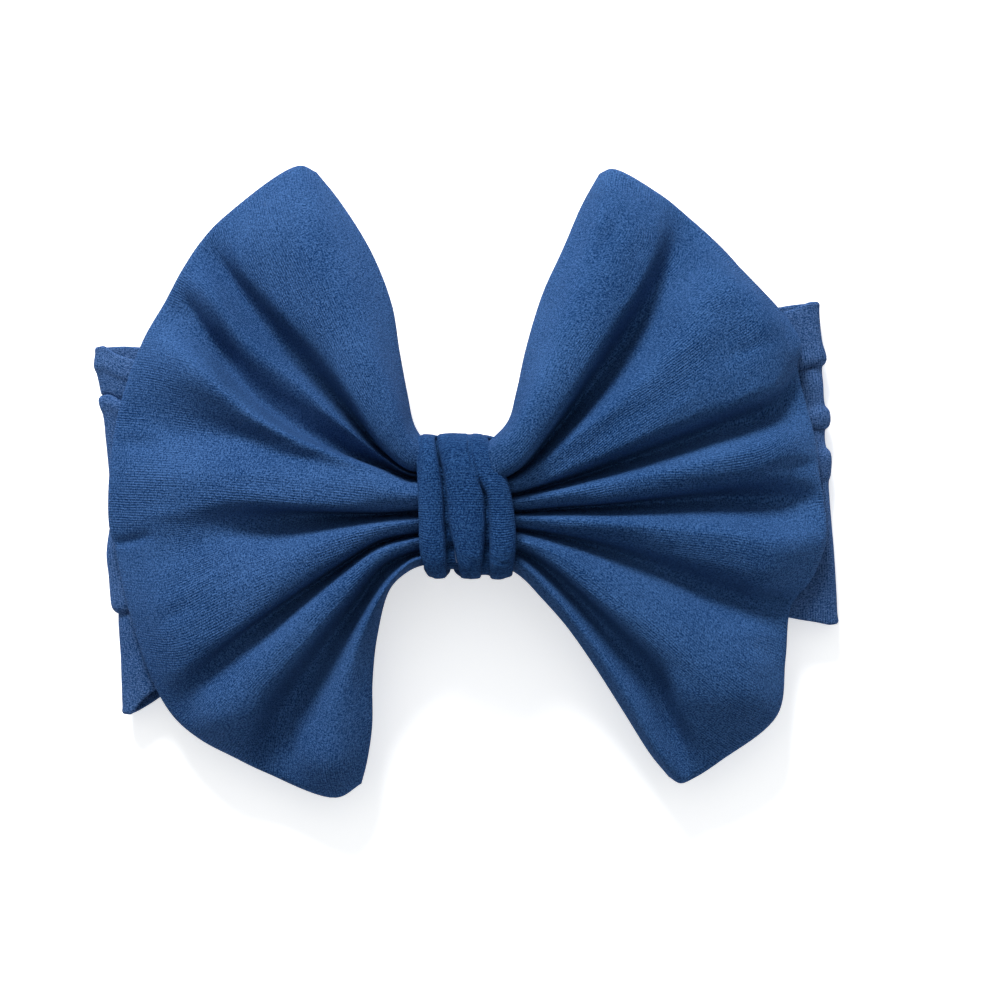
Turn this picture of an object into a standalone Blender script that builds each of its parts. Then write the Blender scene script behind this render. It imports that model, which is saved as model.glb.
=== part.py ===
"""Oversized knit-fabric bow on a wide headband loop, lying on its back with the loop pressed nearly flat.

World frame: metres, +Z up and out of the bow's front, +X to the right of someone facing the bow, +Y to its top.
The origin is on the plane that the loop rests on, under the centre of the whole object's box.
Dimensions below are millimetres from the knot's centre, and MM turns them into metres.
"""

import math

import bmesh
import bpy
from mathutils import Vector

MM = 0.001
GAP = 0.3  # clearance kept between neighbouring pieces
CLOTH = 2.0  # thickness of one wing panel, seam allowances and padding of the nap included

# ---- Wings: outlines seen from the front -----------------------------------------------------------------
WING_ROOT_X = 11.9  # the panels start here, just outside the centre wrap
PIVOT_Z = 27.0  # height of the wings' lifting axes
LEFT_TOP_EDGE = [(-11.9, 16.0), (-14.7, 29.4), (-16.7, 44.0), (-21.9, 56.5), (-29.8, 68.9), (-34.4, 75.6)]
LEFT_OUTER_EDGE = [
    (-34.4, 75.6), (-37.7, 77.0), (-42.4, 74.7), (-51.5, 68.4), (-59.4, 61.2), (-65.0, 52.6), (-69.3, 44.3),
    (-75.0, 34.1), (-79.0, 21.7), (-81.1, 9.5), (-81.3, -1.1), (-80.6, -5.2), (-77.2, -22.1), (-72.7, -36.6),
    (-69.3, -44.5), (-63.9, -51.3), (-57.1, -55.1), (-48.1, -59.6), (-39.1, -64.1), (-33.4, -65.7),
    (-26.6, -65.9),
]
LEFT_BOTTOM_EDGE = [(-11.9, -14.4), (-16.9, -16.3), (-19.6, -23.7), (-21.2, -34.3), (-21.7, -52.4),
                    (-26.6, -65.9)]
RIGHT_TOP_EDGE = [(11.9, 18.0), (13.8, 33.0), (18.3, 48.8), (24.8, 64.4), (30.0, 75.6)]
RIGHT_OUTER_EDGE = [
    (30.0, 75.6), (32.3, 76.3), (39.5, 72.9), (46.3, 68.4), (53.1, 62.8), (58.7, 57.1), (65.5, 49.9),
    (70.9, 44.3), (75.2, 38.6), (75.4, 28.5), (77.7, 21.7), (79.5, 8.4), (81.5, -5.2), (78.8, -15.4),
    (73.4, -22.6), (72.7, -29.8), (70.7, -46.7), (64.4, -54.0), (57.6, -58.0), (49.0, -63.2),
]
RIGHT_BOTTOM_EDGE = [(11.9, -14.4), (17.2, -21.5), (23.7, -28.7), (32.7, -42.2), (41.8, -56.9), (49.0, -63.2)]
ROOT_MID_Z = 23.2  # middle of a wing's two layers, at the knot
EDGE_MID_Z = 14.2  # and at its outer edge
FRONT_PUFF = 6.0  # how far the front panel stands off that middle surface
BACK_PUFF = 1.5
ROOT_PUFF = 2.0
LOBES = 6  # pleat ridges across one wing
LOBE_HEIGHT = 5.0
ROWS = 8  # mesh steps from the knot to the outer edge
COLUMNS = 4 * LOBES

# ---- Knot: the centre wrap with the gathered bow and band inside it ---------------------------------------
WRAP_HALF_WIDTH = 10.8
WRAP_Y = (-16.6, 16.0)
WRAP_Z = (12.0, 36.0)
WRAP_CLOTH = 2.2
WRAP_CORNER = 5.0
WRAP_GROOVES = (-5.0, 4.3)  # where two pleats of the wrap meet
GROOVE_DEPTH = 1.0
GROOVE_HALF_WIDTH = 1.8
WAIST_Y = (-13.4, 12.8)
WAIST_Z = (18.4, 33.0)
WAIST_HALF_WIDTH = 11.5
WAIST_CORNER = 4.0
GATHER_DEPTH = 1.6  # the winding's groove round the waist
GATHER_HALF_WIDTH = 3.2
THREAD_R = 0.35
WINDS = 4
STITCH_COUNT = 9
STITCH_HALF_SPAN = 8.5
STITCH_Y = (3.2, 6.0)

# ---- Headband loop, in its own frame, turned about +Z -----------------------------------------------------
BAND_TILT = math.radians(4.5)
BAND_END_X = {"left": 83.0, "right": 83.6}  # from the knot's centre to each fold
BAND_END_Y = {"left": (-41.5, 42.7), "right": (-33.7, 40.0)}
BAND_NECK_X = 20.0  # the back half tapers in two steps, to a neck and then to the back seam
BAND_NECK_Y = (-14.5, 19.0)
BAND_MID_Y = (-12.0, 12.5)  # at the back seam
BAND_ROOT_X = 12.8
BAND_ROOT_Y = (-11.4, 11.0)
BAND_ROOT_Z = (14.5, 18.0)
BAND_END_Z = (6.2, 9.4)
BACK_CLOTH = 3.0  # the back half: two plies and their pleats
FOLD_Z = 5.0  # height of the folds at the loop's two ends
SWING_Z = 9.8  # height of the axes where the band swings back from the knot
FOLD_LIP = 3.0
SEAM_GAP = 0.7  # half the clearance at the back seam, which closes the loop
ALLOWANCE_WIDTH = 6.4
ALLOWANCE_Z = (3.3, 4.5)
OVERLOCK_STEP = 1.8


def clear_scene():
    for old in list(bpy.data.objects):
        bpy.data.objects.remove(old, do_unlink=True)


def material(name, colour, roughness):
    made = bpy.data.materials.new(name)
    made.use_nodes = True
    shader = made.node_tree.nodes["Principled BSDF"]
    shader.inputs["Base Color"].default_value = (*colour, 1.0)
    shader.inputs["Roughness"].default_value = roughness
    shader.inputs["Metallic"].default_value = 0.0
    return made


def holder(name, at, parent=None, turn=0.0):
    """An empty on a joint's axis, or at a frame's origin. Its place is kept, in millimetres, for its pieces."""
    empty = bpy.data.objects.new(name, None)
    bpy.context.collection.objects.link(empty)
    inside = Vector(parent["at_mm"]) if parent and not turn else Vector((0.0, 0.0, 0.0))
    empty.parent = parent
    empty.location = (Vector(at) - inside) * MM
    empty.rotation_euler = (0.0, 0.0, turn)
    empty["at_mm"] = list(at)
    return empty


def piece(name, corners, faces, finish, held_by):
    """One closed body with its faces pointing out, from corners in its holder's frame, in millimetres."""
    at = Vector(held_by["at_mm"])
    mesh = bpy.data.meshes.new(name)
    mesh.from_pydata([(Vector(c) - at) * MM for c in corners], [], faces)
    shape = bmesh.new()
    shape.from_mesh(mesh)
    bmesh.ops.recalc_face_normals(shape, faces=shape.faces)
    shape.to_mesh(mesh)
    shape.free()
    mesh.materials.append(finish)
    made = bpy.data.objects.new(name, mesh)
    bpy.context.collection.objects.link(made)
    made.parent = held_by
    return made


def mix(a, b, share):
    return a + (b - a) * share


def along(points, share):
    """The point at a share of a polyline's length."""
    steps = [math.dist(a, b) for a, b in zip(points, points[1:])]
    left = share * sum(steps)
    for a, b, step in zip(points, points[1:], steps):
        if left <= step:
            return tuple(mix(p, q, left / step) for p, q in zip(a, b))
        left -= step
    return points[-1]


def fan_point(top, outer, bottom, s, t):
    """A point of a wing's plan: s runs from the knot to the outer edge, t from its top edge to its bottom."""
    sides = [mix(a, b, t) for a, b in zip(along(top, s), along(bottom, s))]
    root = [mix(a, b, t) for a, b in zip(top[0], bottom[0])]
    ends = [mix(a, b, s) for a, b in zip(root, along(outer, t))]
    corners = [
        mix(mix(top[0][k], bottom[0][k], t), mix(outer[0][k], outer[-1][k], t), s) for k in range(2)
    ]
    return [sides[k] + ends[k] - corners[k] for k in range(2)]


def wing_layer(name, outline, height, finish, held_by):
    """A panel of a wing: a slab CLOTH thick over the plan, whose underside is at height(s, t)."""
    corners = []
    for lift in (0.0, CLOTH):
        for i in range(ROWS + 1):
            for j in range(COLUMNS + 1):
                s, t = i / ROWS, j / COLUMNS
                corners.append((*fan_point(*outline, s, t), height(s, t) + lift))
    width = COLUMNS + 1
    layer = (ROWS + 1) * width
    faces = []
    for i in range(ROWS):
        for j in range(COLUMNS):
            a = i * width + j
            faces.append((a, a + 1, a + width + 1, a + width))
            faces.append((layer + a, layer + a + width, layer + a + width + 1, layer + a + 1))
    rim = [j for j in range(width)]
    rim += [i * width + COLUMNS for i in range(1, ROWS + 1)]
    rim += [ROWS * width + j for j in range(COLUMNS - 1, -1, -1)]
    rim += [i * width for i in range(ROWS - 1, 0, -1)]
    for a, b in zip(rim, rim[1:] + rim[:1]):
        faces.append((a, b, layer + b, layer + a))
    return piece(name, corners, faces, finish, held_by)


def middle(s):
    return mix(ROOT_MID_Z, EDGE_MID_Z, s)


def pillow(s, t):
    """How far a wing's layers stand apart: 0 along its closed edges, 1 inside."""
    return math.sqrt(math.sin(math.pi * t)) * (1.0 - s**3)


def front_height(s, t):
    puff = mix(ROOT_PUFF, FRONT_PUFF, min(1.0, 4.0 * s)) * pillow(s, t)
    ridges = 0.5 - 0.5 * math.cos(2.0 * math.pi * LOBES * t)
    return middle(s) + GAP / 2 + puff + LOBE_HEIGHT * ridges * math.sin(math.pi * s**0.7)


def back_height(s, t):
    return middle(s) - GAP / 2 - BACK_PUFF * pillow(s, t) - CLOTH


def make_wing(side, outline, finish, frame):
    sign = -1.0 if side == "left" else 1.0
    pivot = holder(f"{side}_wing_pivot", (sign * WING_ROOT_X, 0.0, PIVOT_Z), frame)
    wing_layer(f"{side}_wing_front", outline, front_height, finish, pivot)
    wing_layer(f"{side}_wing_back", outline, back_height, finish, pivot)


def rounded_loop(y, z, corner, steps=4):
    """A rounded rectangle in the YZ plane, as (y, z) pairs."""
    loop = []
    for turn, (cy, cz) in enumerate([
        (y[1] - corner, z[1] - corner), (y[0] + corner, z[1] - corner),
        (y[0] + corner, z[0] + corner), (y[1] - corner, z[0] + corner),
    ]):
        for k in range(steps + 1):
            angle = math.radians(90.0 * (turn + k / steps))
            loop.append((cy + corner * math.cos(angle), cz + corner * math.sin(angle)))
    return loop


def inset_loop(y, z, corner, depth):
    return rounded_loop((y[0] + depth, y[1] - depth), (z[0] + depth, z[1] - depth), corner - depth)


def bridge(faces, a, b, count):
    """Quads between two rings of count corners, which start at a and at b."""
    for k in range(count):
        n = (k + 1) % count
        faces.append((a + k, a + n, b + n, b + k))


def make_wrap(finish, frame):
    """The strip round the gathered bow and band: a ring about X, pleated into three soft lobes."""
    stations = [WRAP_HALF_WIDTH * (k / 9.0 - 1.0) for k in range(19)]
    corners, faces = [], []
    for x in stations:
        groove = max(max(0.0, 1.0 - abs(x - g) / GROOVE_HALF_WIDTH) for g in WRAP_GROOVES)
        edge = max(0.0, abs(x) / WRAP_HALF_WIDTH - 0.8) * 4.0
        for depth in (GROOVE_DEPTH * max(groove, edge), WRAP_CLOTH):
            corners += [(x, y, z) for y, z in inset_loop(WRAP_Y, WRAP_Z, WRAP_CORNER, depth)]
    count = len(corners) // (2 * len(stations))
    for k in range(len(stations) - 1):
        here, there = 2 * k * count, 2 * (k + 1) * count
        bridge(faces, here, there, count)
        bridge(faces, there + count, here + count, count)
    last = 2 * (len(stations) - 1) * count
    bridge(faces, count, 0, count)
    bridge(faces, last, last + count, count)
    piece("center_wrap", corners, faces, finish, frame)


def make_waist(finish, frame):
    """The gathered middle of the bow's cloth, with the winding's groove round it."""
    stations = [-WAIST_HALF_WIDTH, -6.0, -GATHER_HALF_WIDTH, GATHER_HALF_WIDTH, 6.0, WAIST_HALF_WIDTH]
    corners, faces = [], []
    for x in stations:
        depth = GATHER_DEPTH if abs(x) <= GATHER_HALF_WIDTH else 0.0
        corners += [(x, y, z) for y, z in inset_loop(WAIST_Y, WAIST_Z, WAIST_CORNER, depth)]
    count = len(corners) // len(stations)
    for k in range(len(stations) - 1):
        bridge(faces, k * count, (k + 1) * count, count)
    faces.append(tuple(range(count)))
    faces.append(tuple(range((len(stations) - 1) * count, len(stations) * count)))
    piece("bow_waist", corners, faces, finish, frame)


def make_thread(name, points, finish, held_by, radius=THREAD_R):
    """A thread with a round section, through points in its holder's frame."""
    at = Vector(held_by["at_mm"])
    curve = bpy.data.curves.new(name, "CURVE")
    curve.dimensions = "3D"
    curve.bevel_depth = radius * MM
    curve.bevel_resolution = 1
    curve.use_fill_caps = True
    spline = curve.splines.new("POLY")
    spline.points.add(len(points) - 1)
    for slot, point in zip(spline.points, points):
        slot.co = (*((Vector(point) - at) * MM), 1.0)
    curve.materials.append(finish)
    made = bpy.data.objects.new(name, curve)
    bpy.context.collection.objects.link(made)
    made.parent = held_by


def make_gather_thread(finish, frame):
    """Turns of thread in the waist's groove, which hold its pleats."""
    stand = GATHER_DEPTH - GAP - THREAD_R
    loop = inset_loop(WAIST_Y, WAIST_Z, WAIST_CORNER, stand)
    reach = GATHER_HALF_WIDTH - THREAD_R - GAP
    total = WINDS * len(loop)
    points = [
        (mix(-reach, reach, k / total), *loop[k % len(loop)]) for k in range(total + 1)
    ]
    make_thread("gather_thread", points, finish, frame)


def make_wrap_stitches(finish, frame):
    """Hand stitches that close the wrap behind the knot."""
    z = WRAP_Z[0] - GAP - THREAD_R
    points = []
    for k in range(2 * STITCH_COUNT + 1):
        x = STITCH_HALF_SPAN * (k / STITCH_COUNT - 1.0)
        points.append((x, STITCH_Y[k % 2], z))
    make_thread("wrap_stitches", points, finish, frame)


def slab(name, stations, finish, held_by):
    """A closed bar through rectangular sections, each given as (x, low y, high y, low z, high z)."""
    corners, faces = [], []
    for x, y0, y1, z0, z1 in stations:
        corners += [(x, y0, z0), (x, y1, z0), (x, y1, z1), (x, y0, z1)]
    for k in range(len(stations) - 1):
        bridge(faces, 4 * k, 4 * (k + 1), 4)
    faces.append((0, 1, 2, 3))
    faces.append(tuple(4 * (len(stations) - 1) + k for k in range(4)))
    piece(name, corners, faces, finish, held_by)


def make_band_side(side, finish, frame):
    """One side of the loop: the front half from the knot to the fold, and the back half from there to the seam."""
    sign = -1.0 if side == "left" else 1.0
    end, end_y = BAND_END_X[side], BAND_END_Y[side]
    root = holder(f"band_front_{side}_pivot", (sign * BAND_ROOT_X, 0.0, SWING_Z), frame)
    fold = holder(f"band_back_{side}_pivot", (sign * end, 0.0, FOLD_Z), root)
    front = [
        (BAND_ROOT_X, *BAND_ROOT_Y, *BAND_ROOT_Z),
        (end - FOLD_LIP, *end_y, BAND_END_Z[0], BAND_END_Z[1] + 0.4),
        (end - FOLD_LIP + 0.5, *end_y, FOLD_Z + GAP / 2, BAND_END_Z[1] + 0.3),
        (end, *end_y, FOLD_Z + GAP / 2, BAND_END_Z[1]),
    ]
    back = [
        (SEAM_GAP, *BAND_MID_Y, 0.0, BACK_CLOTH),
        (BAND_NECK_X, *BAND_NECK_Y, 0.0, BACK_CLOTH),
        (end - FOLD_LIP, *end_y, 0.0, BACK_CLOTH),
        (end - FOLD_LIP + 0.5, *end_y, 0.0, FOLD_Z - GAP / 2),
        (end, *end_y, 0.0, FOLD_Z - GAP / 2),
    ]
    slab(f"band_front_{side}", [(sign * x, *rest) for x, *rest in front], finish, root)
    slab(f"band_back_{side}", [(sign * x, *rest) for x, *rest in back], finish, fold)
    return fold


def make_band_seam(cloth, thread, back_left):
    """The seam allowance of the loop's two ends, pressed to the left, and the overlock thread along it."""
    inner, outer = -SEAM_GAP - GAP, -SEAM_GAP - GAP - ALLOWANCE_WIDTH
    y = (BAND_MID_Y[0] + 1.0, BAND_MID_Y[1] - 1.0)
    slab("band_seam_allowance", [(outer, *y, *ALLOWANCE_Z), (inner, *y, *ALLOWANCE_Z)], cloth, back_left)
    z = ALLOWANCE_Z[1] + GAP + THREAD_R
    count = int((y[1] - y[0]) / OVERLOCK_STEP)
    points = []
    for k in range(count + 1):
        x = outer + 1.0 if k % 2 else outer + 4.0
        points.append((x, mix(y[0] + 0.5, y[1] - 0.5, k / count), z))
    make_thread("band_seam_thread", points, thread, back_left)


def centre_on_origin(frame):
    """Moves the whole bow so that its box is centred over the origin, and stands on z = 0."""
    bpy.context.view_layer.update()
    graph = bpy.context.evaluated_depsgraph_get()
    points = []
    for made in bpy.data.objects:
        if made.type == "EMPTY":
            continue
        shown = made.evaluated_get(graph)
        points += [made.matrix_world @ v.co for v in shown.to_mesh().vertices]
        shown.to_mesh_clear()
    middles = [(min(p[k] for p in points) + max(p[k] for p in points)) / 2 for k in range(2)]
    frame.location = (-middles[0], -middles[1], 0.0)
    bpy.context.view_layer.update()


def main():
    clear_scene()
    wing_cloth = material("wing_cloth", (0.027, 0.077, 0.200), 0.9)
    knot_cloth = material("knot_cloth", (0.017, 0.055, 0.155), 0.9)
    band_cloth = material("band_cloth", (0.022, 0.053, 0.130), 0.9)
    thread = material("sewing_thread", (0.016, 0.036, 0.095), 0.6)
    frame = holder("bow_frame", (0.0, 0.0, 0.0))
    band_frame = holder("band_frame", (0.0, 0.0, 0.0), frame, BAND_TILT)
    make_wing("left", (LEFT_TOP_EDGE, LEFT_OUTER_EDGE, LEFT_BOTTOM_EDGE), wing_cloth, frame)
    make_wing("right", (RIGHT_TOP_EDGE, RIGHT_OUTER_EDGE, RIGHT_BOTTOM_EDGE), wing_cloth, frame)
    make_wrap(knot_cloth, frame)
    make_waist(wing_cloth, frame)
    make_gather_thread(thread, frame)
    make_wrap_stitches(thread, frame)
    reach = BAND_ROOT_X - GAP
    slab("band_center", [(-reach, *BAND_ROOT_Y, *BAND_ROOT_Z), (reach, *BAND_ROOT_Y, *BAND_ROOT_Z)],
         band_cloth, band_frame)
    back_left = make_band_side("left", band_cloth, band_frame)
    make_band_side("right", band_cloth, band_frame)
    make_band_seam(band_cloth, thread, back_left)
    centre_on_origin(frame)


main()
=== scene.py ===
"""Looks of a knit-fabric bow on a wide headband loop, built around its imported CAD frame.

Shapes are given in millimetres from the knot's centre, with Z up from the plane the bow lies on. The wings,
the wrap and the band are lofted through fold lines, such as the crests, lips and valley floors of the wings.
"""

import math

import bpy
import numpy as np
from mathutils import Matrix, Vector


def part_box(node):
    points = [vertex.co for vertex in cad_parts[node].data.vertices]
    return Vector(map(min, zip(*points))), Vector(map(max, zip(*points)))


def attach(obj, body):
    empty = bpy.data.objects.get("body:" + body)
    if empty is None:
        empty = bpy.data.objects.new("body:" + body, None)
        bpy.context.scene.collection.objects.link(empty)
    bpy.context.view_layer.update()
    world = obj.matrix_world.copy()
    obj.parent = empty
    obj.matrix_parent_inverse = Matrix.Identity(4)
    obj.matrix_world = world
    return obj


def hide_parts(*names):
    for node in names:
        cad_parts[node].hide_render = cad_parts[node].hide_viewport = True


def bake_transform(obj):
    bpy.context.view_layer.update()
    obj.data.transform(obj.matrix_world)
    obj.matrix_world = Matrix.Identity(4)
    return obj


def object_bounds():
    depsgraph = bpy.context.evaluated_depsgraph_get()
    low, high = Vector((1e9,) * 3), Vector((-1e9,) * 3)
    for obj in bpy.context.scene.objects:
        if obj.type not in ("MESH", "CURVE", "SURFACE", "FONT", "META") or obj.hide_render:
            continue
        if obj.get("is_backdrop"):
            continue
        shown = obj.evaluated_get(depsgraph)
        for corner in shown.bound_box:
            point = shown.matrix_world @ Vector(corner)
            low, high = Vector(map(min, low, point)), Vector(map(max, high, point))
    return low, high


MM = 0.001
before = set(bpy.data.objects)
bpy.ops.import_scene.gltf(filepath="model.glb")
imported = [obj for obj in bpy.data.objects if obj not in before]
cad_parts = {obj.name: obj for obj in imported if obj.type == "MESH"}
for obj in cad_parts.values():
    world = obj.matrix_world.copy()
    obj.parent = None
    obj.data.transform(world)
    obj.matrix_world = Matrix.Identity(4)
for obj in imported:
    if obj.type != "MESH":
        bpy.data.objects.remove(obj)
cad_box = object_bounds()

WRAP_LOW, WRAP_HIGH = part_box("center_wrap")
WRAP_MIDDLE = (-0.3, 24.0)  # y and z of the wrap's middle, from the knot's centre
KNOT = np.array([
    (WRAP_LOW.x + WRAP_HIGH.x) / 2 / MM,
    (WRAP_LOW.y + WRAP_HIGH.y) / 2 / MM - WRAP_MIDDLE[0],
    0.0,
])
BAND_TILT = math.radians(4.5)
RIM_RADIUS = 1.5  # half the plump edge where a wing's two panels are sewn and turned
RIM_STEPS = 5
BAND_ROOT_X = 12.8  # where the band comes out of the wrap
BAND_ROOT_TOP = 18.0
BAND_FALL = 0.1225  # how fast its front half comes down toward its ends
RIB_PITCH = 0.58  # the knit's wales

# ---- Fold lines of the wings ------------------------------------------------------------------------------
# Each line is (kind, points), and each point (x, y, z). Kinds: edge, crest, lip (the sharp border of a lobe
# that stands over a valley), floor, and slope for a line between the others. Lines go from a wing's top to
# its bottom, and their points from the knot outward.
LEFT_WING = [
    ("edge", [(-8, 12.6, 24), (-11.4, 17.5, 25), (-13.2, 25, 23), (-15, 34.5, 21),
              (-16.8, 45, 18.5), (-21.5, 57, 16), (-28.6, 68.5, 13.5), (-34.2, 75.6, 11)]),
    ("crest", [(-8, 11.3, 30), (-12.5, 14.5, 32), (-16, 21.8, 33), (-20.5, 31.5, 31.5),
              (-25.5, 43, 28.3), (-31, 56, 24.8), (-36, 67.5, 20), (-38.2, 77, 12)]),
    ("lip", [(-8, 8.6, 29), (-12.5, 8.6, 31), (-18.3, 13.9, 32), (-24.8, 24.2, 31.2),
              (-32, 35, 27.4), (-42, 45.2, 23.1), (-50.5, 55.5, 18.5), (-55, 65.5, 11.9)]),
    ("floor", [(-8, 7.6, 23), (-12.5, 7.6, 20.4), (-18.8, 12.1, 18.4), (-26.8, 21.2, 16.7),
              (-35.8, 30.6, 15.1), (-45.5, 41, 13.7), (-54, 51.8, 12.6), (-60.4, 60, 11)]),
    ("crest", [(-8, 6.8, 26), (-12.5, 6.9, 26.5), (-19, 11, 24.2), (-27.8, 18.3, 22),
              (-38, 27.2, 20.1), (-49, 36, 19.8), (-58, 47.5, 18.5), (-65, 52.8, 12)]),
    ("floor", [(-8, 5.9, 21), (-12.5, 6.1, 18.9), (-19.3, 8.6, 16.9), (-28.5, 12.4, 15.3),
              (-39.5, 18.2, 13.9), (-50, 27, 13.6), (-58.3, 36.8, 13.3), (-68.6, 46.2, 11.2)]),
    ("lip", [(-8, 5.2, 27), (-12.5, 5.2, 28), (-19.2, 7.6, 28.5), (-28, 10.7, 27.7),
              (-39.3, 15.2, 26.6), (-50.5, 22, 24.6), (-61, 31, 23), (-73.5, 37.2, 12.8)]),
    ("slope", [(-8, 4, 29), (-12.5, 4.1, 30.5), (-19, 5.8, 30.5), (-28, 8, 27.9),
              (-40, 11.2, 23.7), (-52, 15.6, 19.3), (-65, 18, 16.7), (-79.2, 21, 12.1)]),
    ("crest", [(-8, 2.4, 30), (-12.5, 2.3, 31.5), (-19, 3.1, 31.5), (-28, 4.2, 29.5),
              (-41, 5.6, 27.2), (-54, 6.8, 24.8), (-67, 7.6, 21.5), (-81, 8.2, 13)]),
    ("lip", [(-8, -0.5, 28), (-12.5, -0.6, 29), (-19, -0.7, 29), (-28.5, -0.3, 29.1),
              (-41, 0.4, 27.4), (-54, 0.8, 25.1), (-67, -1, 21.6), (-81.2, -4.5, 12.6)]),
    ("floor", [(-8, -1.6, 21), (-12.5, -1.7, 19.4), (-19, -2.1, 17.9), (-28.5, -2.3, 17),
              (-41, -2.8, 17), (-54, -4.2, 20.7), (-68, -8.3, 19.2), (-79.9, -10.2, 11.9)]),
    ("crest", [(-8, -3.2, 27), (-12.5, -3.6, 28.5), (-19.5, -4.6, 28.5), (-29.5, -7.2, 27.8),
              (-42, -11.8, 26.2), (-55, -17.5, 24.5), (-67, -23, 21.3), (-77, -22.8, 12.5)]),
    ("lip", [(-8, -5.2, 26), (-12.5, -5.7, 27), (-19.5, -7.1, 27.3), (-28.5, -12, 27),
              (-40, -19.4, 26), (-51.5, -27.6, 24.1), (-62.5, -35, 21), (-71.3, -40, 12.4)]),
    ("floor", [(-8, -6.3, 21), (-12.5, -6.8, 19.4), (-19.5, -8.5, 18.2), (-29.2, -14.4, 16.9),
              (-41, -22.6, 16.3), (-53, -31.6, 17.2), (-61.5, -40, 16.6), (-66.6, -48.2, 11.2)]),
    ("crest", [(-8, -7.2, 26), (-12.5, -8, 27), (-19.5, -10.4, 27.2), (-28.3, -17.3, 26.6),
              (-38.5, -27.5, 25.3), (-48, -38, 23.3), (-55.5, -47, 19.9), (-60.5, -53.2, 12.3)]),
    ("lip", [(-8, -8.9, 25), (-12.5, -9.8, 26), (-19, -12.4, 26.6), (-27, -20.6, 26.5),
              (-35.6, -30.3, 25.2), (-43.6, -39.8, 22.7), (-49.5, -49, 19.4), (-53, -57.2, 12)]),
    ("floor", [(-8, -10, 21), (-12.4, -11, 19.4), (-18.4, -14, 17.6), (-25.2, -23, 14.9),
              (-33.2, -34, 12.5), (-40, -44.5, 11.2), (-44.5, -52.6, 11), (-46, -60.7, 11)]),
    ("crest", [(-8, -11.4, 25), (-12.2, -12.6, 26.5), (-17, -17.2, 26), (-22.6, -26.5, 24.2),
              (-27, -38, 21.5), (-29.8, -49, 19.7), (-31.2, -58.5, 17.7), (-29.8, -66.5, 11.2)]),
    ("edge", [(-8, -13, 21), (-12.4, -14.5, 22), (-17, -18.6, 20.5), (-20, -29, 18.5),
              (-21.2, -39.5, 17), (-21.4, -50, 15), (-22.7, -58.4, 12.8), (-24, -63.3, 11)]),
]
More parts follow.
